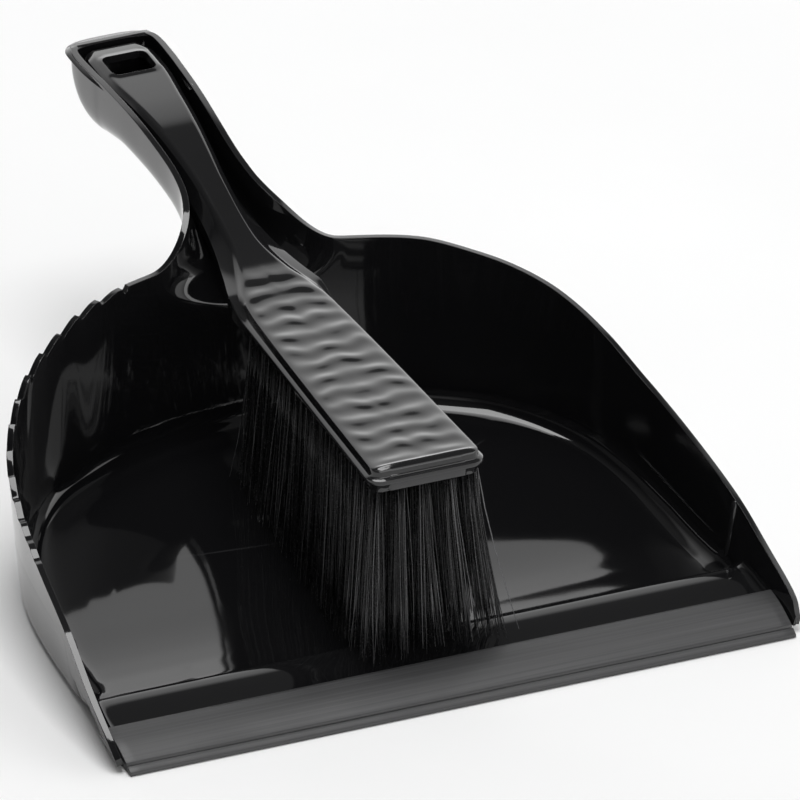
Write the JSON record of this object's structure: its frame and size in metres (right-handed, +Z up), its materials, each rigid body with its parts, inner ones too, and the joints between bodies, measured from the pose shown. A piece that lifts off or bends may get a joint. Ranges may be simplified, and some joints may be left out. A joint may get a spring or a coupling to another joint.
{
  "type": "dust pan and brush set",
  "caption": "Dust pan with a rubber front lip, a comb along the left rim and a trough handle in which a matching hand brush with a long bristle head nests.",
  "frame": {"origin": "middle of the footprint of the nested set, on the floor it stands on", "axes": "+Z up, +X across the pan to the right as seen from the lip, +Y from the lip towards the handle"},
  "size_m": [0.2384, 0.298, 0.0965],
  "materials": {
    "pan_plastic": "high gloss black moulding",
    "lip_rubber": "satin dark grey rubber",
    "brush_plastic": "gloss black moulding",
    "bristle": "black synthetic filament",
    "anchor_wire": "plain flat wire"
  },
  "bodies": {
    "pan": {"pan_body": "pan_plastic", "rubber_lip": "lip_rubber"},
    "brush": {"brush_body": "brush_plastic", "tuft_anchors": "anchor_wire", "tuft_row_01": "bristle", "tuft_row_02": "bristle", "tuft_row_03": "bristle", "tuft_row_04": "bristle", "tuft_row_05": "bristle", "tuft_row_06": "bristle", "tuft_row_07": "bristle", "tuft_row_08": "bristle", "tuft_row_09": "bristle", "tuft_row_10": "bristle", "tuft_row_11": "bristle", "tuft_row_12": "bristle", "tuft_row_13": "bristle", "tuft_row_14": "bristle", "tuft_row_15": "bristle", "tuft_row_16": "bristle", "tuft_row_17": "bristle", "tuft_row_18": "bristle", "tuft_row_19": "bristle", "tuft_row_20": "bristle"}
  },
  "joints": [
    {"name": "brush_lift", "type": "slide", "parent": "pan", "child": "brush", "axis": [0, 0, 1], "range_m": [0, 0.15]}
  ]
}
